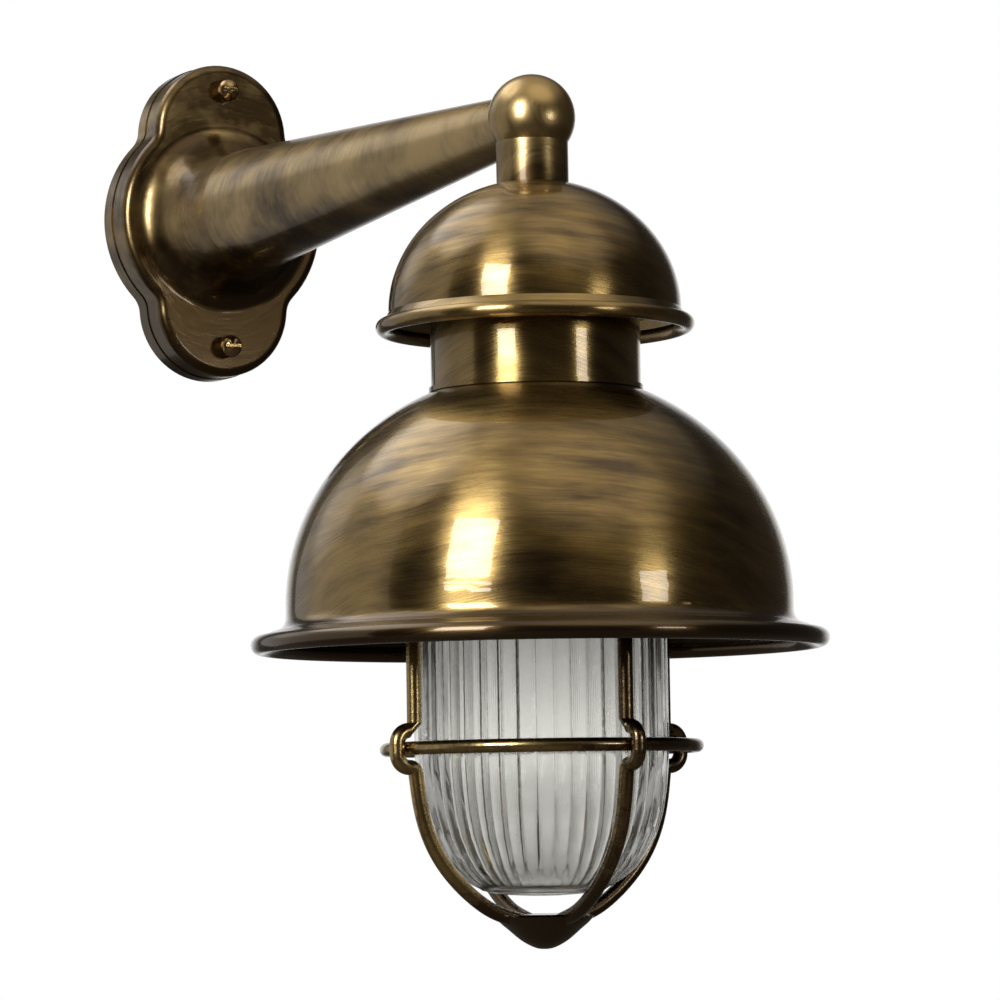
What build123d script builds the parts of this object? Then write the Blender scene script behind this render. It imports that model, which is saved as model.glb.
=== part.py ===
from build123d import *
import math
import os

# Wall-mounted ship lantern in patinated brass.
# Millimetres. The wall is the plane Y = 0, the bracket reaches out along -Y and +Z is up.
# The origin is the middle of the wall face, level with the arm.

# ---- driving dimensions -------------------------------------------------------------
reach = 288.0            # wall to the lamp's upright axis
gasket_thickness = 1.5   # sealing pad against the wall
plate_front = 9.0        # front of the back plate's rim, from the wall
plate_floor = 3.0        # thickness of the back plate's floor
rosette_front = 22.0     # front face of the arm's rosette, from the wall
casting_wall = 3.0       # wall of the bracket casting
outline_radius = 43.5    # middle circle of the lobed rosette
lobe_radius = 28.5       # upper and lower lobes
lobe_offset = 35.0       # lobe centres above and below the arm's axis
lobe_blend = 10.0        # radius in the four waists between circle and lobes
stud_height = 52.0       # fixing studs above and below the arm's axis
stud_radius = 2.5
stud_end = 27.5          # outer end of the fixing studs, from the wall
stud_boss_radius = 4.5   # pads in the back plate that the studs screw into
nut_radius = 4.5
nut_side = 5.0           # straight side of a nut below its dome
running_gap = 0.02       # radial gap of a screwed or sliding fit
wall_hole_spacing = 60.0
wall_hole_radius = 2.6
cable_hole_radius = 8.0
cable_hole_z = -18.0

bell_radius = 38.0       # foot of the arm's trumpet on the rosette
bell_length = 34.0
cone_wall_radius = 27.8  # the arm's cone continued to the wall
cone_taper = 0.065       # radius lost per millimetre of reach
ball_radius = 15.3
stem_radius = 12.6
stem_joint_z = -13.0     # joint between the casting's boss and the stem tube
nipple_radius = 6.5
nipple_bore = 4.7

sheet = 1.4              # spun brass sheet
cap_radius = 51.0        # small upper dome
cap_height = 46.0
cap_equator_z = -68.0
cap_crown_z = -23.5
cap_bead_radius = 2.7
cap_rim_radius = 55.5
cap_rim_z = -75.8
neck_radius = 36.5
neck_top_z = -40.0
shade_radius = 87.8      # large lower dome
shade_height = 81.3
shade_equator_z = -170.0
shade_crown_z = -96.1
shade_rim_radius = 100.0
shade_rim_z = -186.2
shade_bead_radius = 3.2
shade_blend = 5.0
crown_hole_radius = 27.0 # air and wiring hole through neck foot and shade crown

gallery_bore = 20.0
gallery_thread_radius = 49.4
gallery_bottom_z = -121.0
seal_thickness = 1.5
jar_radius = 44.0
jar_flange_radius = 48.6
jar_wall = 3.0
jar_taper_z = -219.0     # where the straight body starts to close in
jar_foot_z = -270.4
seal_bore = 45.0
collar_radius = 53.9
collar_top_z = -111.0
collar_bottom_z = -130.5
bar_radius = 2.6
bar_circle = 51.5        # guard bars stand on this radius
loop_circle = 58.5       # middle line of the loops that pass outside the ring
guard_ring_radius = 2.3
guard_ring_z = -219.5
guard_stop_angle = 5.5   # where the guard's thread comes tight
guard_tip_z = -288.6

holder_top_z = -60.0
holder_flange_radius = 14.5
barrel_inner_radius = 11.3
barrel_wall = 1.0
contact_offset = 5.0     # lamp contacts either side of the axis
bulb_contact_z = -88.5
bulb_push = 2.5
bulb_turn = 18.0
globe_radius = 22.5
globe_z = -147.0
lead_radius = 1.1

os.makedirs("parts", exist_ok=True)
lamp = Pos(0, -reach, 0)


def save(shape, name):
    """Write one named piece."""
    export_step(shape, f"parts/{name}.step")


def box_between(low, high):
    """A box from its lowest to its highest corner."""
    size = [b - a for a, b in zip(low, high)]
    middle = [(a + b) / 2 for a, b in zip(low, high)]
    return Pos(*middle) * Box(*size)


def turned(profile):
    """Spin a profile of (radius, height) about the upright axis."""
    return revolve(Plane.XZ * profile, Axis.Z)


def turned_outline(*points):
    """Spin a closed polygon of (radius, height) points about the upright axis."""
    return turned(make_face(Polyline(*points, close=True)))


def tube(outer, inner, bottom, top):
    """An upright tube, or a rod where the inner radius is zero."""
    body = Pos(0, 0, (bottom + top) / 2) * Cylinder(outer, top - bottom)
    if inner > 0:
        body -= Pos(0, 0, (bottom + top) / 2) * Cylinder(inner, top - bottom + 2)
    return body


def band(inner, outer, low, high):
    """A rectangle in (radius, height) between two radii and two heights."""
    return Pos((inner + outer) / 2, (low + high) / 2) * Rectangle(outer - inner, high - low)


def rod_to_wall(x, z, radius, near, far):
    """A cylinder square to the wall, between two distances from it."""
    return Pos(x, -(near + far) / 2, z) * Rot(90, 0, 0) * Cylinder(radius, far - near)


def rounded_path(points, radii):
    """Straight runs through the points, joined by tangent arcs."""
    return FilletPolyline(*points, radius=radii)


def lobed_outline(inset):
    """The rosette's outline, moved inwards by the inset: a circle with two lobes."""
    circle = outline_radius - inset
    lobe = lobe_radius - inset
    shape = Circle(circle) + Pos(0, lobe_offset) * Circle(lobe) + Pos(0, -lobe_offset) * Circle(lobe)
    waist_z = (circle**2 - lobe**2 + lobe_offset**2) / (2 * lobe_offset)
    waist_x = math.sqrt(circle**2 - waist_z**2)
    corners = [
        v for v in shape.vertices() if abs(abs(v.X) - waist_x) < 0.1 and abs(abs(v.Y) - waist_z) < 0.1
    ]
    return fillet(corners, lobe_blend + inset)


def lobed_block(inset, near, far):
    """A solid with the rosette's outline between two distances from the wall."""
    return extrude(Plane.XZ.offset(near) * lobed_outline(inset), far - near)


def cone_radius(distance):
    """Outer radius of the arm's cone at a distance from the wall."""
    return cone_wall_radius - cone_taper * distance


# ---- wall plate -----------------------------------------------------------------------
floor_front = gasket_thickness + plate_floor
wall_holes = [(-wall_hole_spacing / 2, 0), (wall_hole_spacing / 2, 0)]
stud_places = [(0, stud_height), (0, -stud_height)]


def wall_gasket():
    pad = lobed_block(1.5, 0, gasket_thickness)
    for x, z in wall_holes:
        pad -= rod_to_wall(x, z, wall_hole_radius + 0.6, -1, gasket_thickness + 1)
    return pad - rod_to_wall(0, cable_hole_z, cable_hole_radius + 1, -1, gasket_thickness + 1)


def back_plate():
    plate = lobed_block(-0.4, gasket_thickness, plate_front)
    plate -= lobed_block(2.5, floor_front, plate_front + 1)
    for x, z in stud_places:
        plate += rod_to_wall(x, z, stud_boss_radius, floor_front, plate_front - 1)
        plate -= rod_to_wall(x, z, stud_radius + running_gap, gasket_thickness + 1, plate_front)
    for x, z in wall_holes:
        plate -= rod_to_wall(x, z, wall_hole_radius, 0, floor_front + 1)
    return plate - rod_to_wall(0, cable_hole_z, cable_hole_radius, 0, floor_front + 1)


def mounting_studs():
    near = gasket_thickness + 1
    return Compound([rod_to_wall(x, z, stud_radius, near, stud_end) for x, z in stud_places])


def rosette_nuts():
    """Two round nuts with domed tops and a screwdriver slot."""
    nuts = []
    dome = rosette_front + nut_side
    slot_depth = 1.5
    for x, z in stud_places:
        nut = rod_to_wall(x, z, nut_radius, rosette_front, dome)
        nut += Pos(x, -dome, z) * Sphere(nut_radius)
        nut -= rod_to_wall(x, z, stud_radius + running_gap, rosette_front - 1, dome + 1)
        slot_floor = dome + nut_radius - slot_depth
        nut -= box_between((-6, -slot_floor - 3, z - 0.6), (6, -slot_floor, z + 0.6))
        nuts.append(nut)
    return Compound(nuts)


# ---- bracket casting --------------------------------------------------------------------
def arm_profile(shrink, start, end):
    """Half profile (radius, Y) of the trumpet and cone, thinner by the shrink."""
    foot = bell_radius - shrink
    waist_distance = rosette_front + bell_length
    waist = cone_radius(waist_distance) - shrink
    trumpet = EllipticalCenterArc(
        (foot, -waist_distance), foot - waist, bell_length, start_angle=90, arc_size=90
    )
    outline = trumpet + Polyline(
        (waist, -waist_distance),
        (cone_radius(end) - shrink, -end),
        (0, -end),
        (0, -start),
        (foot, -start),
        (foot, -rosette_front),
    )
    return make_face(outline)


def bracket_arm():
    rosette = lobed_block(0, plate_front, rosette_front)
    front_edges = rosette.faces().sort_by(Axis.Y)[0].edges()
    rosette = fillet(front_edges, 3.5)
    ball = Pos(0, -reach, 0) * Sphere(ball_radius)
    ball -= lamp * tube(stem_radius, 0, -ball_radius - 1, stem_joint_z)
    boss = lamp * tube(stem_radius, 0, stem_joint_z, 0)
    arm = rosette + revolve(arm_profile(0, rosette_front - 1, reach - 8), Axis.Y) + ball + boss
    arm -= lobed_block(casting_wall, plate_front - 1, rosette_front - casting_wall)
    arm -= revolve(arm_profile(casting_wall, plate_front, reach - 8), Axis.Y)
    arm -= Pos(0, -reach, 0) * Sphere(ball_radius - casting_wall)
    for x, z in stud_places:
        arm -= rod_to_wall(x, z, stud_radius + 0.3, plate_front, rosette_front + 1)
    return arm - lamp * tube(nipple_radius + running_gap, 0, stem_joint_z - 1, -5)


# ---- lamp head: stem, domes and gallery -----------------------------------------------
def dome_profile(radius, height, equator, crown, hole):
    """Sheet between two ellipses with a flat crown and a hole on the axis."""
    outer = Pos(0, equator) * Ellipse(radius, height)
    inner = Pos(0, equator) * Ellipse(radius - sheet, height - sheet)
    inside = inner & band(-radius, radius, equator - 1, crown - sheet)
    sheet_shape = (outer & band(-radius, radius, equator, crown)) - inside
    return sheet_shape & band(hole, radius + 1, equator - 1, crown + 1)


def cap_dome():
    bead_circle = cap_rim_radius - cap_bead_radius
    bead_z = cap_rim_z + cap_bead_radius
    skirt = make_face(
        Polyline(
            (cap_radius - sheet, cap_equator_z),
            (cap_radius, cap_equator_z),
            (bead_circle + 0.4, bead_z + 1.5),
            (bead_circle, bead_z),
            (bead_circle - 1.2, bead_z),
            close=True,
        )
    )
    crown = dome_profile(cap_radius, cap_height, cap_equator_z, cap_crown_z, nipple_radius + 0.1)
    return lamp * turned(crown + skirt + Pos(bead_circle, bead_z) * Circle(cap_bead_radius))


def neck():
    """Straight collar between the domes: closed top, turned-in foot and a small foot bead."""
    outer = band(nipple_radius + 0.1, neck_radius, shade_crown_z, neck_top_z)
    inner = band(0, neck_radius - sheet, shade_crown_z + sheet, neck_top_z - sheet)
    foot_hole = band(0, crown_hole_radius, shade_crown_z - 1, neck_top_z - sheet)
    foot_bead = band(neck_radius - 1, neck_radius + 0.8, shade_crown_z, shade_crown_z + 1.6)
    return lamp * turned(outer - inner - foot_hole + foot_bead)


def shade():
    blend_x = shade_radius + shade_blend
    blend_z = shade_equator_z - 3.5
    crown = dome_profile(shade_radius, shade_height, shade_equator_z, shade_crown_z, crown_hole_radius)
    wall = band(shade_radius - sheet, shade_radius, blend_z, shade_equator_z)
    ring = Pos(blend_x, blend_z) * (Circle(shade_blend + sheet) - Circle(shade_blend))
    blend = ring & band(shade_radius - sheet - 1, blend_x, blend_z - 10, blend_z)
    bead_x = shade_rim_radius - shade_bead_radius
    bead_z = shade_rim_z + shade_bead_radius
    brim = make_face(
        Polyline(
            (blend_x, blend_z - shade_blend),
            (bead_x, bead_z + shade_bead_radius - 0.6),
            (bead_x, bead_z),
            (blend_x, blend_z - shade_blend - sheet),
            close=True,
        )
    )
    bead = Pos(bead_x, bead_z) * Circle(shade_bead_radius)
    return lamp * turned(crown + wall + blend + brim + bead)


screw_circle = 31.0
screw_angles = (30, 150, 270)


def gallery():
    """Turned brass carrier under the shade's crown, threaded outside for the guard."""
    top = shade_crown_z - sheet
    body = turned_outline(
        (gallery_bore, top),
        (35.3, top),
        (35.3, top - 3.5),
        (43.0, top - 9.5),
        (gallery_thread_radius, top - 10.5),
        (gallery_thread_radius, gallery_bottom_z),
        (44.8, gallery_bottom_z),
        (44.8, top - 14.0),
        (33.0, top - 5.0),
        (gallery_bore, top - 5.0),
    )
    for angle in screw_angles:
        body -= Rot(0, 0, angle) * Pos(screw_circle, 0, 0) * tube(2.0 + running_gap, 0, top - 6, top + 1)
    return lamp * body


def gallery_screws():
    """Three cheese-head screws from inside the neck into the gallery."""
    seat = shade_crown_z + sheet
    screw = tube(2.0, 0, seat - 7.0, seat) + tube(3.2, 0, seat, seat + 2.6)
    screw -= box_between((-4, -0.4, seat + 1.4), (4, 0.4, seat + 4))
    return lamp * Compound([Rot(0, 0, a) * Pos(screw_circle, 0, 0) * screw for a in screw_angles])


def drilled_for_screws(piece):
    """Clearance holes for the gallery screws."""
    for angle in screw_angles:
        hole = Rot(0, 0, angle) * Pos(screw_circle, 0, 0)
        piece -= lamp * hole * tube(2.2, 0, shade_crown_z - 4, shade_crown_z + 4)
    return piece


def hexagon_nut(across, bottom, top):
    nut = extrude(RegularPolygon(across / 2, 6, major_radius=False), top - bottom)
    return lamp * (Pos(0, 0, bottom) * nut - tube(nipple_radius + running_gap, 0, bottom - 1, top + 1))


# ---- lampholder and bulb -----------------------------------------------------------------
insulator_top = holder_top_z - 14.0
insulator_bottom = insulator_top - 12.0
spring_top = insulator_top - 3.0
plunger_top = spring_top - 5.5
pin_z = bulb_contact_z - 7.5
barrel_bottom = pin_z - 12.0


def holder_cap():
    cap = tube(holder_flange_radius, 0, insulator_top, holder_top_z)
    cap -= tube(holder_flange_radius - 1.3, 0, insulator_top - 1, holder_top_z - 3.0)
    return lamp * (cap - tube(nipple_radius + running_gap, 0, holder_top_z - 4, holder_top_z + 1))


def holder_barrel():
    """Tube that takes the bulb's cap, with two L-shaped slots for its pins."""
    outer = barrel_inner_radius + barrel_wall
    barrel = tube(outer, barrel_inner_radius, barrel_bottom, insulator_top - 2.0)
    barrel += tube(holder_flange_radius, barrel_inner_radius, insulator_top - 4.0, insulator_top - 2.0)
    window_low = pin_z - 1.2
    window_high = pin_z + bulb_push + 1.3
    half_angle = math.radians(bulb_turn / 2 + 7)
    wedge = Polyline(
        (0, 0),
        (2 * outer * math.cos(half_angle), -2 * outer * math.sin(half_angle)),
        (2 * outer * math.cos(half_angle), 2 * outer * math.sin(half_angle)),
        close=True,
    )
    window = Pos(0, 0, window_low) * extrude(make_face(wedge), window_high - window_low)
    entry = box_between((5, -1.3, barrel_bottom - 1), (outer + 2, 1.3, window_low + 1))
    for side in (90, 270):
        barrel -= Rot(0, 0, side - bulb_turn / 2) * window
        barrel -= Rot(0, 0, side - bulb_turn) * entry
    return lamp * barrel


def holder_insulator():
    core = tube(barrel_inner_radius - 0.1, 0, insulator_bottom, insulator_top - 2.0)
    core += tube(holder_flange_radius, 0, insulator_top - 2.0, insulator_top)
    for x in (-contact_offset, contact_offset):
        core -= Pos(x, 0, 0) * tube(2.5, 0, insulator_bottom - 1, spring_top)
    return lamp * core


def holder_terminals():
    """Two brass blocks on the insulator, drilled for the leads."""
    blocks = []
    for x in (-contact_offset - 1.5, contact_offset + 1.5):
        block = box_between((x - 2.5, -3, insulator_top), (x + 2.5, 3, insulator_top + 3.5))
        blocks.append(block - Pos(x, 0, 0) * tube(1.3, 0, insulator_top + 1, insulator_top + 6))
    return lamp * Compound(blocks)


def plungers():
    pin = tube(2.4, 0, bulb_contact_z, plunger_top)
    return lamp * Compound([Pos(x, 0, 0) * pin for x in (-contact_offset, contact_offset)])


def plunger_springs():
    """Two small coil springs that push the contact pins down."""
    wire = 0.3
    height = spring_top - plunger_top - 2 * wire
    coil = Helix(pitch=height / 4, height=height, radius=1.7)
    section = Plane(coil @ 0, z_dir=coil % 0) * Circle(wire)
    spring = Pos(0, 0, plunger_top + wire) * sweep(section, coil)
    return lamp * Compound([Pos(x, 0, 0) * spring for x in (-contact_offset, contact_offset)])


bulb_cap_top = bulb_contact_z - 0.7
bulb_cap_bottom = bulb_cap_top - 24.0


def bulb_cap():
    cup = tube(11.0, 10.4, bulb_cap_bottom, bulb_cap_top) + tube(11.0, 0, bulb_cap_top - 2, bulb_cap_top)
    return lamp * cup


def bulb_pins():
    pin = Rot(0, 90, 0) * Cylinder(0.95, 2.4)
    return lamp * Compound([Rot(0, 0, a) * Pos(12.2, 0, pin_z) * pin for a in (90, 270)])


def bulb_contacts():
    pad = tube(2.2, 0, bulb_cap_top, bulb_contact_z)
    return lamp * Compound([Pos(x, 0, 0) * pad for x in (-contact_offset, contact_offset)])


def bulb_glass():
    """Round envelope with a short neck held in the cap."""
    def envelope(shrink):
        globe = Pos(0, 0, globe_z) * Sphere(globe_radius - shrink)
        return globe + tube(10.2 - shrink, 0, globe_z + 10, bulb_cap_top - 4 - shrink)

    return lamp * (envelope(0) - envelope(0.8))


def bulb_filament():
    """Pinch stem, two support wires and the filament between them."""
    stem = tube(3.0, 0, globe_z + 14, bulb_cap_top - 6)
    pieces = [stem]
    for x in (-6.0, 6.0):
        lean = Polyline((x / 3, 0, globe_z + 13.8), (x, 0, globe_z + 2))
        pieces.append(sweep(Plane(lean @ 0, z_dir=lean % 0) * Circle(0.3), lean))
    pieces.append(Pos(0, 0, globe_z + 1.2) * Rot(0, 90, 0) * Cylinder(0.5, 13))
    return lamp * Compound(pieces)


# ---- glass jar and seals -------------------------------------------------------------------
jar_top = gallery_bottom_z - seal_thickness
jar_flange_bottom = jar_top - 4.0
ledge_z = jar_flange_bottom - 1.0


def jar_profile(shrink):
    """Half profile of the jar, thinner by the shrink: straight body, rounded taper, shallow domed foot."""
    start = (jar_radius - shrink, jar_taper_z)
    foot = (0, jar_foot_z + shrink)
    taper = Spline(
        start,
        (41.4 - shrink, -243.0),
        (36.4 - 0.9 * shrink, -255.0 + 0.4 * shrink),
        (25.5 - 0.5 * shrink, -266.0 + 0.9 * shrink),
        (12.0, -269.9 + shrink),
        foot,
        tangents=((0, -1), (-1, 0)),
    )
    return make_face(taper + Polyline(foot, (0, jar_top), (jar_radius - shrink, jar_top), start))


def jar():
    outer = turned(jar_profile(0))
    outer += tube(jar_flange_radius, 0, jar_flange_bottom, jar_top)
    inner = turned(jar_profile(jar_wall))
    inner += tube(jar_radius - jar_wall, 0, jar_taper_z, jar_top + 1)
    return lamp * (outer - inner)


def upper_jar_seal():
    return lamp * tube(jar_flange_radius, seal_bore, jar_top, gallery_bottom_z)


def lower_jar_seal():
    return lamp * tube(jar_flange_radius, seal_bore, ledge_z, jar_flange_bottom)


# ---- guard ---------------------------------------------------------------------------------
def guard_collar():
    """Knurled ring, threaded inside, with the ledge that carries the jar."""
    ring = tube(collar_radius, gallery_thread_radius + 0.05, ledge_z, collar_top_z)
    ring += tube(collar_radius, seal_bore - 0.1, collar_bottom_z, ledge_z)
    return lamp * ring


def guard_bar_path():
    """Line of one bar: straight, out round the ring, then in under the jar."""
    loop_top = guard_ring_z + 6.0
    loop_low = guard_ring_z - 6.5
    taper_start = (bar_circle - 0.6, loop_low - 4.5)
    upper = FilletPolyline(
        (bar_circle, collar_bottom_z),
        (bar_circle, loop_top),
        (loop_circle, loop_top),
        (loop_circle, loop_low),
        (bar_circle, loop_low),
        taper_start,
        radius=[2.6, 4.6, 4.6, 2.5],
    )
    lower = Spline(
        taper_start,
        (48.3, -244.0),
        (39.8, -260.0),
        (24.0, -273.6),
        (8.0, -279.2),
        tangents=((-0.12, -1), (-1, -0.25)),
    )
    return upper + lower


def guard_bar(number):
    path = Plane.XZ * guard_bar_path()
    start = Pos(bar_circle, 0, collar_bottom_z)
    bar = sweep(start * Circle(bar_radius), path)
    return lamp * Rot(0, 0, guard_stop_angle + 90 * number) * bar


def guard_ring():
    """Ring that lies against the inside of the four loops."""
    circle = loop_circle - bar_radius - guard_ring_radius - running_gap
    return lamp * Pos(0, 0, guard_ring_z) * Torus(circle, guard_ring_radius)


def guard_tip(bars):
    """Blunt cone that the four bars are brazed into."""
    rim = (17.0, -277.4)
    top_z = -276.6
    outline = Spline(
        rim, (12.7, -281.7), (7.9, -285.7), (3.6, -288.0), (0, guard_tip_z), tangents=((-0.6, -1), (-1, 0))
    ) + Polyline((0, guard_tip_z), (0, top_z), (rim[0] - 1.2, top_z), rim)
    tip = lamp * turned(make_face(outline))
    for bar in bars:
        tip -= bar
    return tip


# ---- terminal block and leads ---------------------------------------------------------------
block_low = (-13.0, -15.5, 8.0)
block_high = (13.0, -floor_front, 20.0)
terminal_xs = (-8.0, 0.0, 8.0)
terminal_y = -10.0


def terminal_block():
    block = box_between(block_low, block_high)
    for x in terminal_xs:
        block -= Pos(x, terminal_y, 0) * tube(2.2, 0, block_low[2] - 1, block_high[2] + 1)
        block -= rod_to_wall(x, 14, 1.9, -terminal_y, 17)
    return block


def terminal_sleeves():
    """Brass tubes in the block that join supply and internal leads."""
    sleeves = []
    for x in terminal_xs:
        sleeve = Pos(x, terminal_y, 0) * tube(2.15, 1.3, block_low[2] + 0.5, block_high[2] - 0.5)
        sleeves.append(sleeve - rod_to_wall(x, 14, 1.3, -terminal_y, 17))
    return Compound(sleeves)


def terminal_screws():
    screws = []
    for x in terminal_xs:
        screw = rod_to_wall(x, 14, 1.2, -terminal_y, 14.8)
        screws.append(screw - box_between((x - 0.3, -15, 12), (x + 0.3, -14.2, 16)))
    return Compound(screws)


def lead(points, radii):
    """Insulated wire along straight runs joined by arcs."""
    path = rounded_path(points, radii)
    return sweep(Plane(path @ 0, z_dir=path % 0) * Circle(lead_radius), path)


def lamp_lead(side):
    """From the terminal block through the arm, round in the ball and down to the lampholder."""
    x = 1.35 * side
    terminal_x = 8.0 * side
    holder_x = (contact_offset + 1.5) * side
    points = [
        (terminal_x, terminal_y, block_low[2] + 2),
        (terminal_x, terminal_y, 1.5),
        (x, -34.0, 1.5),
        (x, -reach, 1.5),
        (x, -reach, holder_top_z - 4.5),
        (holder_x, -reach, holder_top_z - 9.0),
        (holder_x, -reach, insulator_top + 1.2),
    ]
    return lead(points, [5.0, 12.0, 7.5, 2.5, 2.5])


def earth_lead():
    points = [
        (0, terminal_y, block_low[2] + 2),
        (0, terminal_y, 0),
        (18, terminal_y + 2.0, -6),
        (18, terminal_y + 2.0, -17.5),
    ]
    return lead(points, [4.0, 4.0])


def earth_screw():
    """Pan-head screw in the back plate with the earth lead's ring tag under its head."""
    return rod_to_wall(18, -20.5, 3.0, floor_front, floor_front + 5.0)


pieces = {
    "wall_gasket": wall_gasket(),
    "back_plate": back_plate(),
    "mounting_studs": mounting_studs(),
    "rosette_nuts": rosette_nuts(),
    "bracket_arm": bracket_arm(),
    "nipple": lamp * tube(nipple_radius, nipple_bore, holder_top_z - 3.0, -8.0),
    "stem_tube": lamp * tube(stem_radius, nipple_radius + 0.3, cap_crown_z, stem_joint_z),
    "cap_dome": cap_dome(),
    "cap_spacer": lamp * tube(10.0, nipple_radius + 0.3, neck_top_z, cap_crown_z - sheet),
    "neck": drilled_for_screws(neck()),
    "neck_locknut": hexagon_nut(19.0, neck_top_z - sheet - 5.0, neck_top_z - sheet),
    "holder_locknut": hexagon_nut(17.0, holder_top_z, holder_top_z + 4.0),
    "shade": drilled_for_screws(shade()),
    "gallery": gallery(),
    "gallery_screws": gallery_screws(),
    "holder_cap": holder_cap(),
    "holder_barrel": holder_barrel(),
    "holder_insulator": holder_insulator(),
    "holder_terminals": holder_terminals(),
    "plungers": plungers(),
    "plunger_springs": plunger_springs(),
    "bulb_cap": bulb_cap(),
    "bulb_pins": bulb_pins(),
    "bulb_contacts": bulb_contacts(),
    "bulb_glass": bulb_glass(),
    "bulb_filament": bulb_filament(),
    "jar": jar(),
    "upper_jar_seal": upper_jar_seal(),
    "lower_jar_seal": lower_jar_seal(),
    "guard_collar": guard_collar(),
    "guard_ring": guard_ring(),
    "terminal_block": terminal_block(),
    "terminal_sleeves": terminal_sleeves(),
    "terminal_screws": terminal_screws(),
    "live_lead": lamp_lead(1),
    "neutral_lead": lamp_lead(-1),
    "earth_lead": earth_lead(),
    "earth_screw": earth_screw(),
}
guard_bars = [guard_bar(number) for number in range(4)]
for number, bar in enumerate(guard_bars, start=1):
    pieces[f"guard_bar_{number}"] = bar
pieces["guard_tip"] = guard_tip(guard_bars)

for name, shape in pieces.items():
    save(shape, name)
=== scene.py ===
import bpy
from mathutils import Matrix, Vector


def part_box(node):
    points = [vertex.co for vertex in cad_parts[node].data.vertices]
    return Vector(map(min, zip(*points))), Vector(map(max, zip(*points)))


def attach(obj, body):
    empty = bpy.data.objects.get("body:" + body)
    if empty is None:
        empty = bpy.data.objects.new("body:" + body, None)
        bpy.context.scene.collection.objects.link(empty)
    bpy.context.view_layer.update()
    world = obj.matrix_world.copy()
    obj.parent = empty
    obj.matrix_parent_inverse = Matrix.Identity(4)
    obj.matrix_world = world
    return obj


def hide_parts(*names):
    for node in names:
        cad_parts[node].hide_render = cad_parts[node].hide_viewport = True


bl_info = {
    "name": "Ship Lantern",
    "version": (1, 0, 0),
    "blender": (4, 5, 0),
    "location": "View3D > Sidebar > Lantern",
    "description": "Finishes the wall-mounted ship lantern: jar, guard collar, metal finishes and studio",
    "category": "Object",
}

import math
import bmesh
import bpy
from mathutils import Matrix, Vector

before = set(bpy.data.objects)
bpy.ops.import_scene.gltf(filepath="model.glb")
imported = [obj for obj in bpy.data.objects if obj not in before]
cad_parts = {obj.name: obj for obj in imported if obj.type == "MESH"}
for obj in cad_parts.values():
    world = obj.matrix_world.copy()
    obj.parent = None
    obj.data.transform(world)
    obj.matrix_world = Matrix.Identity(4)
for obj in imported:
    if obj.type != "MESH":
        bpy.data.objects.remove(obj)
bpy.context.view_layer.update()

SHADE_LOW, SHADE_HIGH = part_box("shade")
ARM_LOW, ARM_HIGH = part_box("bracket_arm")
TIP_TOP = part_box("guard_tip")[1].z
JAR_LOW, JAR_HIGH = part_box("jar")
COLLAR_LOW, COLLAR_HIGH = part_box("guard_collar")
AXIS_Y = (SHADE_LOW.y + SHADE_HIGH.y) / 2
AXIS = Vector((0.0, AXIS_Y, 0.0))
MM = 0.001
FULL_TURN = 2 * math.pi
CAMERA_SIDE = math.atan2(-0.883, -0.4695)    # heading from the lamp's axis to the camera's side
SLANT = 0.4                                  # how steeply the brush strokes climb round the spun metal
BRUSH_SLANT = (SLANT * math.cos(CAMERA_SIDE), SLANT * math.sin(CAMERA_SIDE), 0.0)
# SHADE_ROLL is the width of the rolled rim that is darkened as painted shade
SHADE_ROLL = 11.0 * MM                       # width of the dark rolled rim of the shade
BODY_IOR = 1.5                               # of the lacquer and of the glass


# ---------------------------------------------------------------- settings

class LanternSizes(bpy.types.PropertyGroup):
    flute_count: bpy.props.IntProperty(
        name="Flutes", description="Number of ribs pressed round the jar",
        default=48, min=12, max=96)
    flute_depth: bpy.props.FloatProperty(
        name="Flute depth", description="How far a groove sinks between two ribs",
        default=0.9 * MM, unit="LENGTH", subtype="DISTANCE")
    jar_wall: bpy.props.FloatProperty(
        name="Jar wall", description="Thickness of the pressed glass",
        default=3.0 * MM, unit="LENGTH", subtype="DISTANCE")
    jar_shoulder: bpy.props.FloatProperty(
        name="Jar shoulder", description="Step from the jar's body out to its seating flange",
        default=4.6 * MM, unit="LENGTH", subtype="DISTANCE")
    knurl_count: bpy.props.IntProperty(
        name="Knurls", description="Number of finger grooves round the guard's collar",
        default=60, min=12, max=120)
    knurl_depth: bpy.props.FloatProperty(
        name="Knurl depth", description="Depth of each finger groove",
        default=0.5 * MM, unit="LENGTH", subtype="DISTANCE")


class LanternFinish(bpy.types.PropertyGroup):
    brass_dark: bpy.props.FloatVectorProperty(
        name="Patina", description="Colour of the dark lacquered brass",
        default=(0.085, 0.052, 0.020), subtype="COLOR", min=0.0, max=1.0)
    brass_gold: bpy.props.FloatVectorProperty(
        name="Brushed gold", description="Colour where the patina is brushed through",
        default=(0.42, 0.285, 0.10), subtype="COLOR", min=0.0, max=1.0)
    bronze_dark: bpy.props.FloatVectorProperty(
        name="Guard bronze", description="Colour of the guard's dark bars",
        default=(0.11, 0.072, 0.036), subtype="COLOR", min=0.0, max=1.0)
    glass_tint: bpy.props.FloatVectorProperty(
        name="Glass", description="Colour of the pressed glass",
        default=(0.80, 0.80, 0.78), subtype="COLOR", min=0.0, max=1.0)


class LanternStudio(bpy.types.PropertyGroup):
    focal_length: bpy.props.FloatProperty(
        name="Focal length", description="Camera lens in millimetres",
        default=153.12, subtype="DISTANCE_CAMERA")
    key_power: bpy.props.FloatProperty(
        name="Key light", description="Power of the large softbox on the left",
        default=10.0, unit="POWER")
    side_power: bpy.props.FloatProperty(
        name="Side light", description="Power of the narrow softbox on the right",
        default=1.3, unit="POWER")
    floor_height: bpy.props.FloatProperty(
        name="Floor", description="Height of the floor below the wall plate's centre",
        default=-0.62, unit="LENGTH", subtype="DISTANCE")


# ---------------------------------------------------------------- modelling helpers

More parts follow.
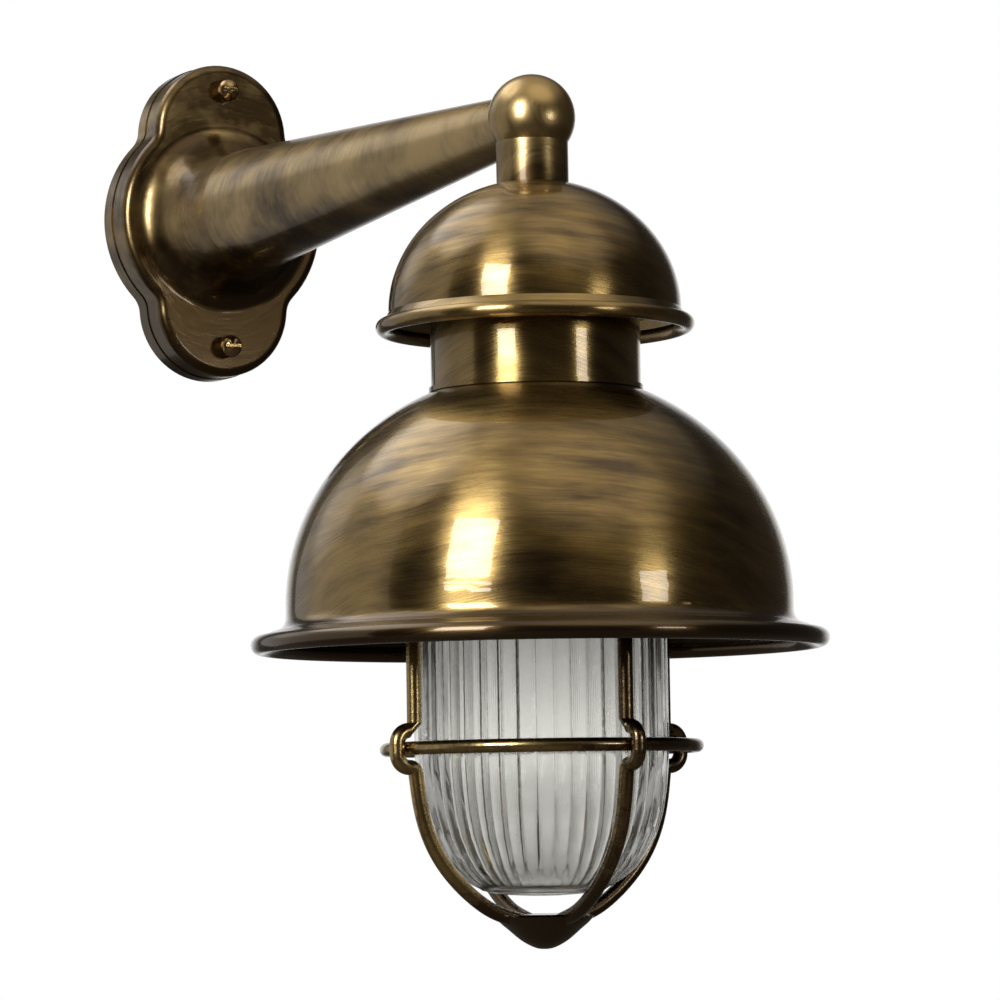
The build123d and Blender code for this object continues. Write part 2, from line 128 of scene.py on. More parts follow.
def deselect():
    if bpy.context.mode != "OBJECT":
        bpy.ops.object.mode_set(mode="OBJECT")
    bpy.ops.object.select_all(action="DESELECT")


def edit(piece):
    deselect()
    bpy.context.view_layer.objects.active = piece
    piece.select_set(True)
    bpy.ops.object.mode_set(mode="EDIT")
    bpy.ops.mesh.select_mode(type="VERT")


def pick(piece, test):
    """Selects the vertices whose place passes the test, in edit mode."""
    mesh = bmesh.from_edit_mesh(piece.data)
    found = 0
    for vertex in mesh.verts:
        vertex.select_set(test(vertex.co))
        found += vertex.select
    mesh.select_flush_mode()
    bmesh.update_edit_mesh(piece.data)
    if not found:
        raise RuntimeError(piece.name + ": nothing to select")


def turned(name, section, steps):
    """Draws a closed section corner by corner as (radius, height), then spins it round the lamp's axis."""
    deselect()
    radius, height = section[0]
    bpy.ops.mesh.primitive_plane_add(size=MM, location=(AXIS.x + radius, AXIS.y, height))
    piece = bpy.context.object
    piece.name = name
    bpy.ops.object.transform_apply(location=True, rotation=True, scale=True)
    bpy.ops.object.mode_set(mode="EDIT")
    bpy.ops.mesh.select_mode(type="VERT")
    bpy.ops.mesh.select_all(action="SELECT")
    bpy.ops.mesh.merge(type="CENTER")
    for start, end in zip(section, section[1:]):
        step = (end[0] - start[0], 0.0, end[1] - start[1])
        bpy.ops.mesh.extrude_region_move(TRANSFORM_OT_translate={"value": step})
    if section[0][0] > 0.0 or section[-1][0] > 0.0:
        ends = [Vector((AXIS.x + r, AXIS.y, z)) for r, z in (section[0], section[-1])]
        pick(piece, lambda co: any((co - end).length < 1e-6 for end in ends))
        bpy.ops.mesh.edge_face_add()
    bpy.ops.mesh.select_all(action="SELECT")
    bpy.ops.mesh.spin(steps=steps, angle=FULL_TURN, center=AXIS, axis=(0.0, 0.0, 1.0))
    bpy.ops.mesh.select_all(action="SELECT")
    bpy.ops.mesh.remove_doubles(threshold=2e-6)
    bpy.ops.mesh.normals_make_consistent(inside=False)
    bpy.ops.object.mode_set(mode="OBJECT")
    return piece


def smooth(piece, degrees):
    deselect()
    bpy.context.view_layer.objects.active = piece
    piece.select_set(True)
    bpy.ops.object.shade_smooth_by_angle(angle=math.radians(degrees))


def settle(piece, body, slot, node):
    """Gives a finished piece its slot and finish, the body it rides on and the node it stands for."""
    piece.data.materials.clear()
    piece.data.materials.append(finish_of(slot))
    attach(piece, body)
    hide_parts(node)


def aim(azimuth, elevation):
    """The direction from the lamp at that azimuth from the camera's side, in degrees."""
    angle, rise = CAMERA_SIDE + math.radians(azimuth), math.radians(elevation)
    return Vector((math.cos(angle) * math.cos(rise), math.sin(angle) * math.cos(rise), math.sin(rise)))


# ---------------------------------------------------------------- node helpers

def add(tree, kind, values=None, **settings):
    """Adds a node; values are numbers, colours or output sockets for its inputs."""
    made = tree.nodes.new(kind)
    for key, value in settings.items():
        setattr(made, key, value)
    for key, value in (values or {}).items():
        if isinstance(value, bpy.types.NodeSocket):
            tree.links.new(value, made.inputs[key])
        else:
            made.inputs[key].default_value = value
    return made


def sums(tree, operation, *values):
    made = add(tree, "ShaderNodeMath", dict(enumerate(values)), operation=operation)
    return made.outputs[0]


def noise(tree, vector, scale, detail=3.0, roughness=0.55):
    values = {"Vector": vector, "Scale": scale, "Detail": detail, "Roughness": roughness}
    return add(tree, "ShaderNodeTexNoise", values).outputs["Fac"]


def remap(tree, value, low, high, to_low=0.0, to_high=1.0):
    values = {"Value": value, "From Min": low, "From Max": high, "To Min": to_low, "To Max": to_high}
    return add(tree, "ShaderNodeMapRange", values, clamp=True).outputs["Result"]


def blend(tree, share, first, second):
    """Mixes two colours; a share above one brightens past the second."""
    factor, a, b, result = 0, 6, 7, 2
    made = add(tree, "ShaderNodeMix", {factor: share, a: first, b: second}, data_type="RGBA",
               clamp_factor=False)
    return made.outputs[result]


def split(tree, vector):
    return add(tree, "ShaderNodeSeparateXYZ", {"Vector": vector}).outputs


def join(tree, x, y, z=0.0):
    return add(tree, "ShaderNodeCombineXYZ", {"X": x, "Y": y, "Z": z}).outputs[0]


def dot(tree, first, second):
    made = add(tree, "ShaderNodeVectorMath", {0: first, 1: second}, operation="DOT_PRODUCT")
    return made.outputs["Value"]


def group(name, inputs, outputs):
    """A shader node group with named sockets: (name, socket kind, default)."""
    tree = bpy.data.node_groups.new(name, "ShaderNodeTree")
    for label, kind, default in inputs:
        socket = tree.interface.new_socket(label, in_out="INPUT", socket_type="NodeSocket" + kind)
        if default is not None:
            socket.default_value = default
    for label, kind in outputs:
        tree.interface.new_socket(label, in_out="OUTPUT", socket_type="NodeSocket" + kind)
    return tree, add(tree, "NodeGroupInput").outputs, add(tree, "NodeGroupOutput").inputs


def use(tree, inner, values):
    made = add(tree, "ShaderNodeGroup", node_tree=inner)
    for key, value in values.items():
        if isinstance(value, bpy.types.NodeSocket):
            tree.links.new(value, made.inputs[key])
        else:
            made.inputs[key].default_value = value
    return made.outputs


def rgba(colour):
    return (*colour, 1.0)


# ---------------------------------------------------------------- shared effects

def brushing_group():
    """Brush lines that run round an upright axis, with gold patches where the patina is worn through; the
    Wear and Painted Light input shifts how much gold shows, and on the arm it carries painted light and
    shade.
    """
    tree, given, out = group(
        "Turned Brushing",
        [("Vector", "Vector", None), ("Axis Y", "Float", 0.0), ("Dark", "Color", None),
         ("Gold", "Color", None), ("Lines per Metre", "Float", 1500.0),
         ("Strokes per Metre", "Float", 34.0), ("Slant", "Vector", None), ("Shaded Rim Radius", "Float", 1.0),
         ("Wear and Painted Light", "Float", 0.5), ("Rough Low", "Float", 0.13), ("Rough High", "Float", 0.24)],
        [("Color", "Color"), ("Roughness", "Float"), ("Height", "Float")])
    place = split(tree, given["Vector"])
    across = sums(tree, "SUBTRACT", place["Y"], given["Axis Y"])
    flat = join(tree, place["X"], across)
    radius = add(tree, "ShaderNodeVectorMath", {0: flat}, operation="LENGTH").outputs["Value"]
    # lines of equal "along" are the brush strokes: level rings that wander and climb a little
    drift = sums(tree, "MULTIPLY", noise(tree, given["Vector"], 9.0, 2.0), 0.03)
    climb = sums(tree, "ADD", drift, dot(tree, flat, given["Slant"]))
    along = sums(tree, "ADD", sums(tree, "SUBTRACT", radius, place["Z"]), climb)
    fine_step = sums(tree, "MULTIPLY", along, given["Lines per Metre"])
    band_step = sums(tree, "MULTIPLY", fine_step, 0.09)
    east = sums(tree, "MULTIPLY", place["X"], given["Strokes per Metre"])
    north = sums(tree, "MULTIPLY", across, given["Strokes per Metre"])
    fine = noise(tree, join(tree, east, north, fine_step), 1.0, 3.0, 0.7)
    bands = noise(tree, join(tree, east, north, band_step), 0.9, 3.0, 0.6)
    patches = noise(tree, given["Vector"], 24.0, 2.0)
    mixed = sums(tree, "MULTIPLY_ADD", bands, 1.1, sums(tree, "MULTIPLY", fine, 0.3))
    mixed = sums(tree, "MULTIPLY_ADD", patches, 0.9, mixed)
    # the Wear and Painted Light input shifts the tone towards gold; on the arm it carries painted light and
    # shade
    mixed = sums(tree, "ADD", mixed, sums(tree, "SUBTRACT", given["Wear and Painted Light"], 0.5))
    # painted shade: the rolled rim is darkened to stand in for its dark reflection
    past_shaded_rim = sums(tree, "SUBTRACT", radius, given["Shaded Rim Radius"])
    mixed = sums(tree, "SUBTRACT", mixed, remap(tree, past_shaded_rim, -1.0 * MM, 1.0 * MM, 0.0, 0.9))
    colour = blend(tree, remap(tree, mixed, 0.85, 1.45), given["Dark"], given["Gold"])
    rough = remap(tree, fine, 0.25, 0.75, given["Rough High"], given["Rough Low"])
    tree.links.new(colour, out["Color"])
    tree.links.new(rough, out["Roughness"])
    tree.links.new(sums(tree, "MULTIPLY_ADD", bands, 0.3, fine), out["Height"])
    return tree


def strokes_group():
    """Short hand-brushed strokes in two crossing directions over a casting."""
    tree, given, out = group(
        "Cast Brushing",
        [("Vector", "Vector", None), ("Dark", "Color", None), ("Gold", "Color", None),
         ("Wear and Painted Light", "Float", 0.5)],
        [("Color", "Color"), ("Roughness", "Float"), ("Height", "Float")])
    directions = (((0.5, 0.3, 0.5), (60.0, 520.0, 520.0)), ((-0.4, 0.9, -0.6), (420.0, 60.0, 420.0)))
    layers = []
    for turn, scale in directions:
        values = {"Vector": given["Vector"], "Rotation": turn, "Scale": scale}
        layers.append(noise(tree, add(tree, "ShaderNodeMapping", values).outputs[0], 1.0, 3.0, 0.6))
    patches = noise(tree, given["Vector"], 40.0, 3.0)
    grain = noise(tree, given["Vector"], 900.0, 2.0)
    strokes = sums(tree, "MAXIMUM", *layers)
    mixed = sums(tree, "MULTIPLY_ADD", strokes, 1.0, sums(tree, "MULTIPLY", patches, 0.7))
    # the Wear and Painted Light input shifts the tone; on the guard it carries painted light on one side
    mixed = sums(tree, "ADD", mixed, sums(tree, "SUBTRACT", given["Wear and Painted Light"], 0.5))
    colour = blend(tree, remap(tree, mixed, 0.72, 1.15), given["Dark"], given["Gold"])
    tree.links.new(colour, out["Color"])
    tree.links.new(remap(tree, strokes, 0.35, 0.7, 0.34, 0.20), out["Roughness"])
    tree.links.new(sums(tree, "MULTIPLY_ADD", grain, 0.25, strokes), out["Height"])
    return tree


def speckle_group():
    """Fine mottling for glass, rubber, glaze and plastic."""
    tree, given, out = group(
        "Fine Mottle",
        [("Vector", "Vector", None), ("First", "Color", None), ("Second", "Color", None),
         ("Scale", "Float", 300.0), ("Rough Low", "Float", 0.3), ("Rough High", "Float", 0.5)],
        [("Color", "Color"), ("Roughness", "Float"), ("Height", "Float")])
    coarse = noise(tree, given["Vector"], given["Scale"], 4.0)
    fine = noise(tree, given["Vector"], sums(tree, "MULTIPLY", given["Scale"], 6.0), 2.0)
    share = remap(tree, coarse, 0.3, 0.7)
    tree.links.new(blend(tree, share, given["First"], given["Second"]), out["Color"])
    span = sums(tree, "SUBTRACT", given["Rough High"], given["Rough Low"])
    tree.links.new(sums(tree, "MULTIPLY_ADD", share, span, given["Rough Low"]), out["Roughness"])
    tree.links.new(sums(tree, "MULTIPLY_ADD", fine, 0.4, coarse), out["Height"])
    return tree


# ---------------------------------------------------------------- materials

BRIGHT_LOW, BRIGHT_HIGH = (0.42, 0.28, 0.12), (0.80, 0.60, 0.30)    # machined brass of nuts and fittings
CAST_GOLD = (0.52, 0.37, 0.16)                                      # rubbed gold of the casting
BRONZE_GOLD = (0.52, 0.37, 0.15)                                    # rubbed gold of the guard
QUARTER_TURN = 0.25                                                 # highlights spread across the brush lines


def material(name):
    """A new material with its shader; returns (material, tree, shader, object coordinates)."""
    made = bpy.data.materials.new("lantern_" + name)
    made.use_nodes = True
    tree = made.node_tree
    tree.nodes.clear()
    shader = add(tree, "ShaderNodeBsdfPrincipled")
    output = add(tree, "ShaderNodeOutputMaterial")
    tree.links.new(shader.outputs[0], output.inputs["Surface"])
    coordinates = add(tree, "ShaderNodeTexCoord").outputs["Object"]
    return made, tree, shader, coordinates


def relief(tree, shader, height, distance, strength=1.0):
    bump = add(tree, "ShaderNodeBump", {"Height": height, "Distance": distance, "Strength": strength})
    tree.links.new(bump.outputs[0], shader.inputs["Normal"])


def link(tree, shader, made, names=("Color", "Roughness")):
    for source in names:
        target = "Base Color" if source == "Color" else source
        tree.links.new(made[source], shader.inputs[target])


def metal(tree, shader, result, coat, depth):
    """Bare metal under lacquer; the coat is its weight and its roughness."""
    link(tree, shader, result)
    shader.inputs["Metallic"].default_value = 1.0
    shader.inputs["Coat Weight"].default_value = coat[0]
    shader.inputs["Coat Roughness"].default_value = coat[1]
    relief(tree, shader, result["Height"], depth)


def brushed_brass(name, effect, colours, lines, rough, coat, depth, strokes=34.0, rubbed=0.5, spread=0.0,
                  lying=False):
    """Lacquered brass brushed round the lamp's axis, or round the arm's when it lies, where painted light and
    shade set how much gold shows.
    """
    made, tree, shader, place = material(name)
    axis, slant = AXIS_Y, BRUSH_SLANT
    if lying:
        # painted light and shade: more gold towards the ball, less near the plate and on what hangs below the
        # arm's middle
        spot = split(tree, place)
        painted_light_along_arm = remap(tree, spot["Y"], ARM_LOW.y * 0.8, ARM_HIGH.y - 10.0 * MM, 0.74, 0.36)
        painted_shade_below = remap(tree, spot["Z"], -20.0 * MM, -8.0 * MM, 0.24, 0.0)
        rubbed = sums(tree, "SUBTRACT", painted_light_along_arm, painted_shade_below)
        upright = (math.pi / 2, 0.0, 0.0)
        place = add(tree, "ShaderNodeMapping", {"Vector": place, "Rotation": upright}).outputs[0]
        axis, slant = 0.0, (0.0, 0.0, 0.0)
    values = {"Vector": place, "Axis Y": axis, "Dark": rgba(colours[0]), "Gold": rgba(colours[1]),
              "Wear and Painted Light": rubbed, "Lines per Metre": lines, "Strokes per Metre": strokes, "Slant": slant,
              "Shaded Rim Radius": SHADE_HIGH.x - SHADE_ROLL, "Rough Low": rough[0], "Rough High": rough[1]}
    metal(tree, shader, use(tree, effect, values), coat, depth)
    shader.inputs["Coat IOR"].default_value = BODY_IOR
    shader.inputs["Anisotropic"].default_value = spread
    shader.inputs["Anisotropic Rotation"].default_value = QUARTER_TURN
    return made


def guard_bronze(name, effect, dark, gold):
    """Bronze of the guard: brighter gold on one side as painted light, and darker towards the tip."""
    made, tree, shader, place = material(name)
    spot = split(tree, place)
    # painted light: the bars on the left side get more gold
    painted_light_left = remap(tree, spot["X"], -30.0 * MM, 0.0, 0.68, 0.36)
    darker_near_tip = remap(tree, spot["Z"], TIP_TOP, TIP_TOP + 14.0 * MM, 0.4, 0.0)
    values = {"Vector": place, "Dark": rgba(dark), "Gold": rgba(gold),
              "Wear and Painted Light": sums(tree, "SUBTRACT", painted_light_left, darker_near_tip)}
    metal(tree, shader, use(tree, effect, values), coat=(0.5, 0.10), depth=0.00006)
    return made


def mottled(name, effect, first, second, scale, rough, metallic=0.0, depth=0.00005, **constants):
    made, tree, shader, place = material(name)
    values = {"Vector": place, "First": rgba(first), "Second": rgba(second), "Scale": scale,
              "Rough Low": rough[0], "Rough High": rough[1]}
    result = use(tree, effect, values)
    link(tree, shader, result)
    shader.inputs["Metallic"].default_value = metallic
    for key, value in constants.items():
        shader.inputs[key.replace("_", " ")].default_value = value
    relief(tree, shader, result["Height"], depth)
    return made


def make_finishes(finish):
    """Every material of the lantern, by the name of its slot."""
    turned_lines = brushing_group()
    strokes = strokes_group()
    mottle = speckle_group()
    dark, gold = finish.brass_dark, finish.brass_gold
    tint = finish.glass_tint
    sleeve = {"scale": 400.0, "rough": (0.30, 0.42)}
    return {
        "spun_brass": brushed_brass("spun_brass", turned_lines, (dark, gold), lines=1500.0,
                                    rough=(0.22, 0.34), coat=(0.8, 0.03), depth=0.00004, spread=0.85),
        "bright_brass": brushed_brass("bright_brass", turned_lines, (BRIGHT_LOW, BRIGHT_HIGH), lines=4000.0,
                                      rough=(0.12, 0.22), coat=(0.5, 0.05), depth=0.00002, rubbed=0.8),
        "cast_brass": brushed_brass("cast_brass", turned_lines, (dark, CAST_GOLD), lines=700.0,
                                    rough=(0.24, 0.40), coat=(0.5, 0.10), depth=0.00005, strokes=60.0,
                                    lying=True),
        "guard_bronze": guard_bronze("guard_bronze", strokes, finish.bronze_dark, BRONZE_GOLD),
        "solder": mottled("solder", mottle, (0.45, 0.45, 0.46), (0.62, 0.62, 0.63), scale=800.0,
                          rough=(0.30, 0.45), metallic=1.0),
        "steel": mottled("steel", mottle, (0.50, 0.50, 0.51), (0.66, 0.66, 0.67), scale=1200.0,
                         rough=(0.20, 0.32), metallic=1.0),
        "black_rubber": mottled("black_rubber", mottle, (0.012, 0.012, 0.012), (0.028, 0.027, 0.026),
                                scale=500.0, rough=(0.55, 0.75), depth=0.00010),
        "porcelain": mottled("porcelain", mottle, (0.78, 0.76, 0.70), (0.84, 0.82, 0.77), scale=90.0,
                             rough=(0.10, 0.18)),
        "brown_insulation": mottled("brown_insulation", mottle, (0.10, 0.04, 0.015), (0.13, 0.055, 0.02),
                                    **sleeve),
        "blue_insulation": mottled("blue_insulation", mottle, (0.015, 0.05, 0.22), (0.02, 0.065, 0.27),
                                   **sleeve),
        "green_insulation": mottled("green_insulation", mottle, (0.03, 0.16, 0.03), (0.30, 0.30, 0.02),
                                    scale=120.0, rough=(0.30, 0.42)),
        "clear_glass": mottled("clear_glass", mottle, tint, tint, scale=180.0, rough=(0.06, 0.13),
                               depth=0.00004, Transmission_Weight=1.0, IOR=BODY_IOR),
    }


FINISHES = {}


def finish_of(slot):
    if not FINISHES:
        FINISHES.update(make_finishes(bpy.context.scene.lantern_finish))
    return FINISHES[slot]


# ---------------------------------------------------------------- operators

class LANTERN_OT_finish_metalwork(bpy.types.Operator):
    """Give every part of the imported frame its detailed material"""
    bl_idname = "lantern.finish_metalwork"
    bl_label = "Finish metalwork"

    def execute(self, context):
        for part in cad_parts.values():
            for slot in part.material_slots:
                slot.material = finish_of(slot.material.name.split(".")[0])
        return {"FINISHED"}


class LANTERN_OT_fluted_jar(bpy.types.Operator):
    """Spin the pressed glass jar and sink the grooves between its ribs"""
    bl_idname = "lantern.fluted_jar"
    bl_label = "Fluted jar"

    columns = 8                     # columns of points across one rib and its groove
    # share of the groove's depth at a column
    groove = {0: 1.0, 1: 0.52, 7: 0.52, 2: 0.2, 6: 0.2, 3: 0.04, 5: 0.04}
    flange_height = 4.0 * MM
    flange_edge = 0.8 * MM
    lip = 0.6 * MM
    run_in = 1.6                    # rings over which the grooves start below the flange
    run_out = 3.0                   # rings over which they fade out at the foot
    straight = (8.0, 11.0, 14.0, 40.0, 68.0, 96.5)      # rings of the straight body, down from the top, mm
    # rings of the bowl: how far in from the body, and how far up from the foot, mm
    bowl = ((0.3, 44.0), (1.1, 36.0), (2.5, 28.0), (4.9, 20.5), (8.0, 14.8), (11.8, 9.6), (15.6, 6.3),
            (19.2, 4.0))
    # moulded ring and shallow dome of the foot, then the inside of the bowl: radius and height, mm
    foot_ring = ((22.0, 2.6), (21.2, 2.0), (20.7, 2.3), (20.2, 1.8), (17.5, 1.15), (12.0, 0.5), (6.0, 0.12),
                 (0.0, 0.0))
    inside = ((0.0, 3.2), (8.0, 3.4), (15.0, 4.4), (21.5, 6.9), (27.0, 11.0), (31.8, 16.6), (36.0, 24.4),
              (38.8, 34.4))
    bore_start = ((0.4, 44.0), (0.0, 52.0))             # where the inside becomes straight

    def execute(self, context):
        sizes = context.scene.lantern_sizes
        top, foot = JAR_HIGH.z, JAR_LOW.z
        flange, edge = JAR_HIGH.x, self.flange_edge
        body = flange - sizes.jar_shoulder
        bore = body - sizes.jar_wall
        under = top - self.flange_height
        rim = [(flange - edge, top), (flange, top - edge), (flange, under + edge), (flange - edge, under),
               (body + self.lip, under), (body, under - edge)]
        ribs = [(body, top - depth * MM) for depth in self.straight]
        ribs += [(body - inset * MM, foot + rise * MM) for inset, rise in self.bowl]
        base = [(radius * MM, foot + rise * MM) for radius, rise in self.foot_ring + self.inside]
        mouth = [(bore - inset * MM, foot + rise * MM) for inset, rise in self.bore_start]
        mouth += [(bore, top - self.lip), (bore + self.lip, top)]
        piece = turned("fluted_jar", rim + ribs + base + mouth, sizes.flute_count * self.columns)
        self.sink_grooves(piece, sizes, ribs)
        smooth(piece, degrees=50)
        settle(piece, "jar_and_seals", "clear_glass", "jar")
        return {"FINISHED"}

    def sink_grooves(self, piece, sizes, rings):
        """Draws the columns of each ring in towards the axis, deepest in the middle of a groove."""
        step = FULL_TURN / (sizes.flute_count * self.columns)
        edit(piece)
        for index, (radius, height) in enumerate(rings):
            left = len(rings) - 1 - index
            fade = min(1.0, (index + 0.4) / self.run_in, left / self.run_out)
            if fade <= 0.0:
                continue
            for share in sorted(set(self.groove.values())):
                own = {column for column, depth in self.groove.items() if depth == share}

                def in_ring(co):
                    if abs(co.z - height) > 1e-5:
                        return False
                    x, y = co.x - AXIS.x, co.y - AXIS.y
                    if abs(math.hypot(x, y) - radius) > 2e-5:
                        return False
                    return round(math.atan2(y, x) / step) % self.columns in own

                pick(piece, in_ring)
                scale = (radius - sizes.flute_depth * fade * share) / radius
                bpy.ops.transform.resize(value=(scale, scale, 1.0), center_override=AXIS)
        bpy.ops.object.mode_set(mode="OBJECT")


class LANTERN_OT_knurled_collar(bpy.types.Operator):
    """Turn the guard's screwed collar and press the finger grooves round it"""
    bl_idname = "lantern.knurled_collar"
    bl_label = "Knurled collar"

    columns = 4                     # columns of points from one finger groove to the next
    thread_wall = 4.4 * MM
    lip_inset = 3.6 * MM            # the lip under the jar's flange, in from the flange's edge
    ledge_drop = 5.0 * MM           # the face that carries the jar, down from the jar's top
    edge = 0.7 * MM
    plain_band = 3.0 * MM           # left smooth above and below the grooves

    def execute(self, context):
        sizes = context.scene.lantern_sizes
        top, low, outside = COLLAR_HIGH.z, COLLAR_LOW.z, COLLAR_HIGH.x
        thread, edge = outside - self.thread_wall, self.edge
        lip = JAR_HIGH.x - self.lip_inset
        ledge = JAR_HIGH.z - self.ledge_drop
        grip_low, grip_top = low + self.plain_band, top - self.plain_band
        section = [(thread, top), (outside - edge, top), (outside, top - edge), (outside, grip_top),
                   (outside, grip_top - edge), (outside, grip_low + edge), (outside, grip_low),
                   (outside, low + edge), (outside - edge, low), (lip + edge, low), (lip, low + edge),
                   (lip, ledge), (thread, ledge)]
        steps = sizes.knurl_count * self.columns
        step = FULL_TURN / steps
        piece = turned("knurled_collar", section, steps)

        def in_groove(co):
            x, y = co.x - AXIS.x, co.y - AXIS.y
            inside_grip = grip_low + edge / 2 < co.z < grip_top - edge / 2
            on_rim = abs(math.hypot(x, y) - outside) < 1e-5
            column = round(math.atan2(y, x) / step) % self.columns
            return inside_grip and on_rim and column == 0

        edit(piece)
        pick(piece, in_groove)
        scale = (outside - sizes.knurl_depth) / outside
        bpy.ops.transform.resize(value=(scale, scale, 1.0), center_override=AXIS)
        bpy.ops.object.mode_set(mode="OBJECT")
        smooth(piece, degrees=25)
        settle(piece, "guard", "guard_bronze", "guard_collar")
        return {"FINISHED"}


class LANTERN_OT_studio(bpy.types.Operator):
    """Set the pale floor, the soft lights, the surroundings and the camera"""
    bl_idname = "lantern.studio"
    bl_label = "Studio"

    light_distance = 1.2            # from the lit point to every softbox, metres
    lit_height = -0.16              # height of the lit point on the lamp's axis
    floor_radius = 1.1
    camera_place = (-0.6902, -1.2980, -0.2464)      # from the lamp's axis at the arm's height, metres
    camera_turn = (0.4751, 0.0767, -0.0152)         # yaw, pitch and roll, radians
    sensor_width = 36.0
    shift_x = 0.02
    clip_start = 0.05

    def execute(self, context):
        studio = context.scene.lantern_studio
        self.floor(studio)
        self.lights(studio)
        self.surroundings(context.scene)
        self.camera(context.scene, studio)
        context.scene.view_settings.view_transform = "Standard"
        context.scene.view_settings.look = "None"
        return {"FINISHED"}

    def floor(self, studio):
        deselect()
        bpy.ops.mesh.primitive_circle_add(vertices=96, radius=self.floor_radius, fill_type="NGON",
                                          location=(AXIS.x, AXIS.y, studio.floor_height))
        floor = bpy.context.object
        floor.name = "floor"
        bpy.ops.object.transform_apply(location=True, rotation=True, scale=True)
        made, tree, shader, place = material("floor")
        tone = noise(tree, place, 3.0, 3.0)
        colour = blend(tree, tone, (0.80, 0.79, 0.77, 1.0), (0.85, 0.84, 0.82, 1.0))
        mirrored = add(tree, "ShaderNodeLightPath").outputs["Is Glossy Ray"]
        colour = blend(tree, mirrored, colour, (0.06, 0.05, 0.04, 1.0))
        tree.links.new(colour, shader.inputs["Base Color"])
        shader.inputs["Roughness"].default_value = 0.7
        below = add(tree, "ShaderNodeNewGeometry").outputs["Backfacing"]
        clear = add(tree, "ShaderNodeBsdfTransparent").outputs[0]
        shown = add(tree, "ShaderNodeMixShader", {0: below, 1: shader.outputs[0], 2: clear})
        output = tree.nodes["Material Output"]
        tree.links.new(shown.outputs[0], output.inputs["Surface"])
        floor.data.materials.append(made)

    def softbox(self, name, power, azimuth, elevation, width, height):
        """An area light in that direction from the lamp, turned towards it."""
        away = aim(azimuth, elevation)
        light = bpy.data.lights.new(name, "AREA")
        light.shape = "RECTANGLE"
        light.size, light.size_y = width, height
        light.energy = power
        lamp = bpy.data.objects.new(name, light)
        lamp.location = Vector((AXIS.x, AXIS.y, self.lit_height)) + away * self.light_distance
        lamp.rotation_euler = away.to_track_quat("Z", "Y").to_euler()
        bpy.context.scene.collection.objects.link(lamp)

    def lights(self, studio):
        key, side = studio.key_power, studio.side_power
        self.softbox("key_softbox", key, -31.0, 24.0, 0.41, 0.62)
        self.softbox("key_louvre_high", key * 0.03, -31.0, 7.4, 0.44, 0.018)
        self.softbox("key_louvre_low", key * 0.08, -31.0, 5.2, 0.44, 0.045)
        self.softbox("side_softbox", side, 51.0, 6.2, 0.26, 0.20)

    def surroundings(self, scene):
        """White behind the lantern, a dim warm room with windows on the camera's side."""
        world = bpy.data.worlds.new("room")
        world.use_nodes = True
        scene.world = world
        tree = world.node_tree
        tree.nodes.clear()
        path = add(tree, "ShaderNodeLightPath").outputs
        heading = add(tree, "ShaderNodeTexCoord").outputs["Generated"]
        height = split(tree, heading)["Z"]
        flat = {0: heading, 1: (1.0, 1.0, 0.0)}
        level = add(tree, "ShaderNodeVectorMath", flat, operation="MULTIPLY").outputs[0]
        level = add(tree, "ShaderNodeVectorMath", {0: level}, operation="NORMALIZE").outputs[0]

        def facing(vector, azimuth, low, high, elevation=0.0, strength=1.0):
            """A patch of light: nothing where the cosine is low, its full strength where it is high."""
            share = remap(tree, dot(tree, vector, tuple(aim(azimuth, elevation))), low, high)
            return sums(tree, "MULTIPLY", share, strength)

        above_floor = remap(tree, height, -0.20, 0.0)
        backdrop = sums(tree, "MULTIPLY", facing(heading, 180.0, 0.86, 0.97), above_floor)
        wall = facing(level, -108.0, 0.795, 0.80, strength=0.38)
        door = facing(heading, -126.0, 0.955, 0.99, 25.0, 0.9)
        near_window = facing(heading, -95.0, 0.94, 0.985, 54.0, 2.8)
        far_window = facing(heading, -126.0, 0.94, 0.98, 52.0, 2.8)
        skylight = facing(heading, 42.0, 0.80, 0.95, 62.0, 0.9)
        ceiling = remap(tree, height, 0.55, 0.9, 0.0, 0.45)
        cool = sums(tree, "MAXIMUM", sums(tree, "MAXIMUM", wall, door),
                    sums(tree, "MAXIMUM", near_window, far_window))
        warm = sums(tree, "MAXIMUM", ceiling, skylight)
        room = blend(tree, cool, (0.040, 0.034, 0.028, 1.0), (1.0, 0.98, 0.95, 1.0))
        room = blend(tree, warm, room, (1.0, 0.90, 0.72, 1.0))
        room = blend(tree, backdrop, room, (0.95, 0.95, 0.95, 1.0))
        # what is seen through the glass: brightest straight behind, and darker towards the floor
        through = blend(tree, facing(heading, 180.0, 0.70, 0.99), (0.90, 0.88, 0.85, 1.0),
                        (1.38, 1.37, 1.34, 1.0))
        lower = remap(tree, height, -0.12, 0.03, 0.66, 0.0)
        through = blend(tree, lower, through, (0.10, 0.10, 0.095, 1.0))
        colour = blend(tree, path["Is Transmission Ray"], room, through)
        colour = blend(tree, path["Is Camera Ray"], colour, (1.0, 1.0, 1.0, 1.0))
        background = add(tree, "ShaderNodeBackground", {"Color": colour, "Strength": 1.0})
        output = add(tree, "ShaderNodeOutputWorld")
        tree.links.new(background.outputs[0], output.inputs["Surface"])

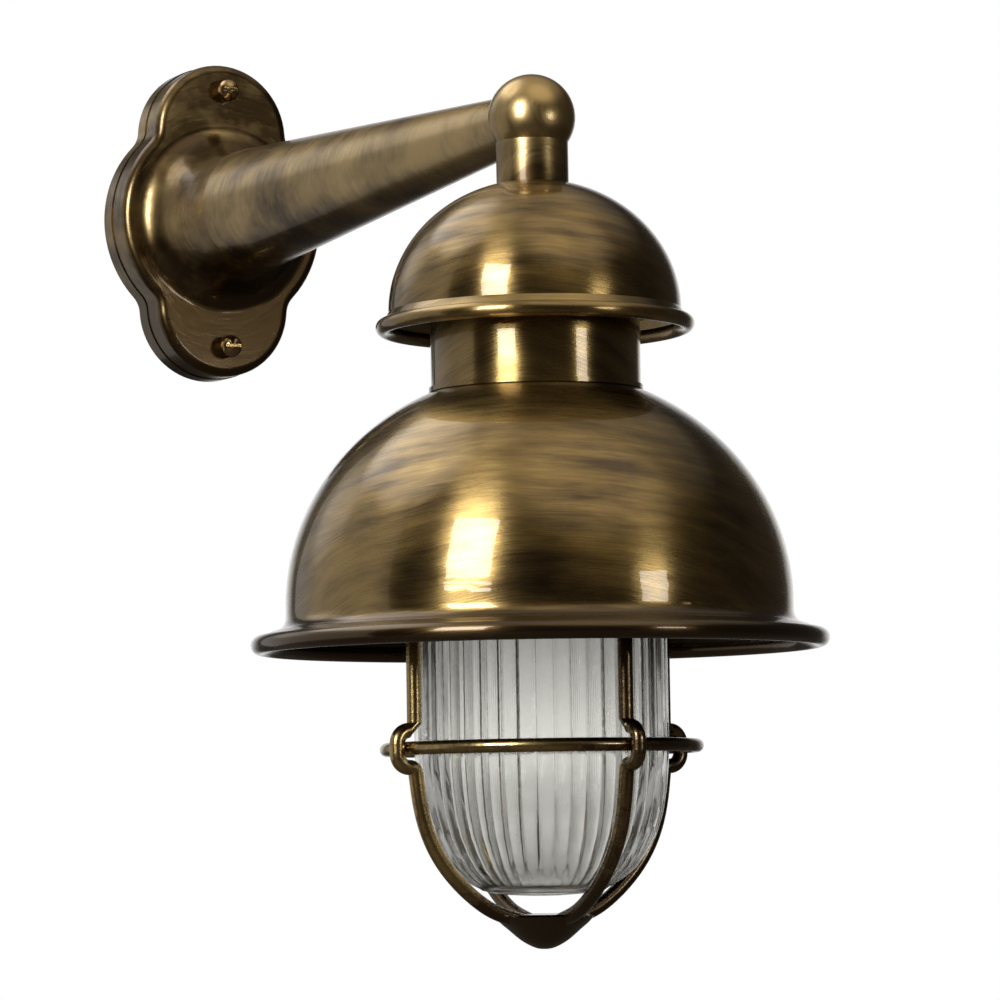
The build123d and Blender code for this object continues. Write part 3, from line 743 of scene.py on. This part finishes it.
    def camera(self, scene, studio):
        yaw, pitch, roll = self.camera_turn
        ahead = Vector((math.sin(yaw) * math.cos(pitch), math.cos(yaw) * math.cos(pitch), math.sin(pitch)))
        level = ahead.cross(Vector((0, 0, 1))).normalized()
        upright = level.cross(ahead)
        right = math.cos(roll) * level + math.sin(roll) * upright
        above = math.cos(roll) * upright - math.sin(roll) * level
        lens = bpy.data.cameras.new("camera")
        lens.lens = studio.focal_length
        lens.sensor_width = self.sensor_width
        lens.shift_x = self.shift_x
        lens.clip_start = self.clip_start
        view = bpy.data.objects.new("camera", lens)
        turn = Matrix((right, above, -ahead)).transposed().to_4x4()
        view.matrix_world = Matrix.Translation(AXIS + Vector(self.camera_place)) @ turn
        scene.collection.objects.link(view)
        bpy.context.scene.camera = view


STEPS = (LANTERN_OT_finish_metalwork, LANTERN_OT_fluted_jar, LANTERN_OT_knurled_collar, LANTERN_OT_studio)
SETTINGS = (("lantern_sizes", LanternSizes), ("lantern_finish", LanternFinish),
            ("lantern_studio", LanternStudio))


class LANTERN_PT_panel(bpy.types.Panel):
    bl_idname = "LANTERN_PT_panel"
    bl_label = "Ship Lantern"
    bl_space_type = "VIEW_3D"
    bl_region_type = "UI"
    bl_category = "Lantern"

    def draw(self, context):
        for step in STEPS:
            self.layout.operator(step.bl_idname)
        for name, kind in SETTINGS:
            box = self.layout.box()
            for key in kind.__annotations__:
                box.prop(getattr(context.scene, name), key)


def register():
    for name, kind in SETTINGS:
        bpy.utils.register_class(kind)
        setattr(bpy.types.Scene, name, bpy.props.PointerProperty(type=kind))
    for kind in STEPS + (LANTERN_PT_panel,):
        bpy.utils.register_class(kind)


def unregister():
    for kind in (LANTERN_PT_panel,) + STEPS[::-1]:
        bpy.utils.unregister_class(kind)
    for name, kind in SETTINGS[::-1]:
        delattr(bpy.types.Scene, name)
        bpy.utils.unregister_class(kind)


def main():
    register()
    bpy.ops.lantern.finish_metalwork()
    bpy.ops.lantern.fluted_jar()
    bpy.ops.lantern.knurled_collar()
    bpy.ops.lantern.studio()


if __name__ == "__main__":
    main()
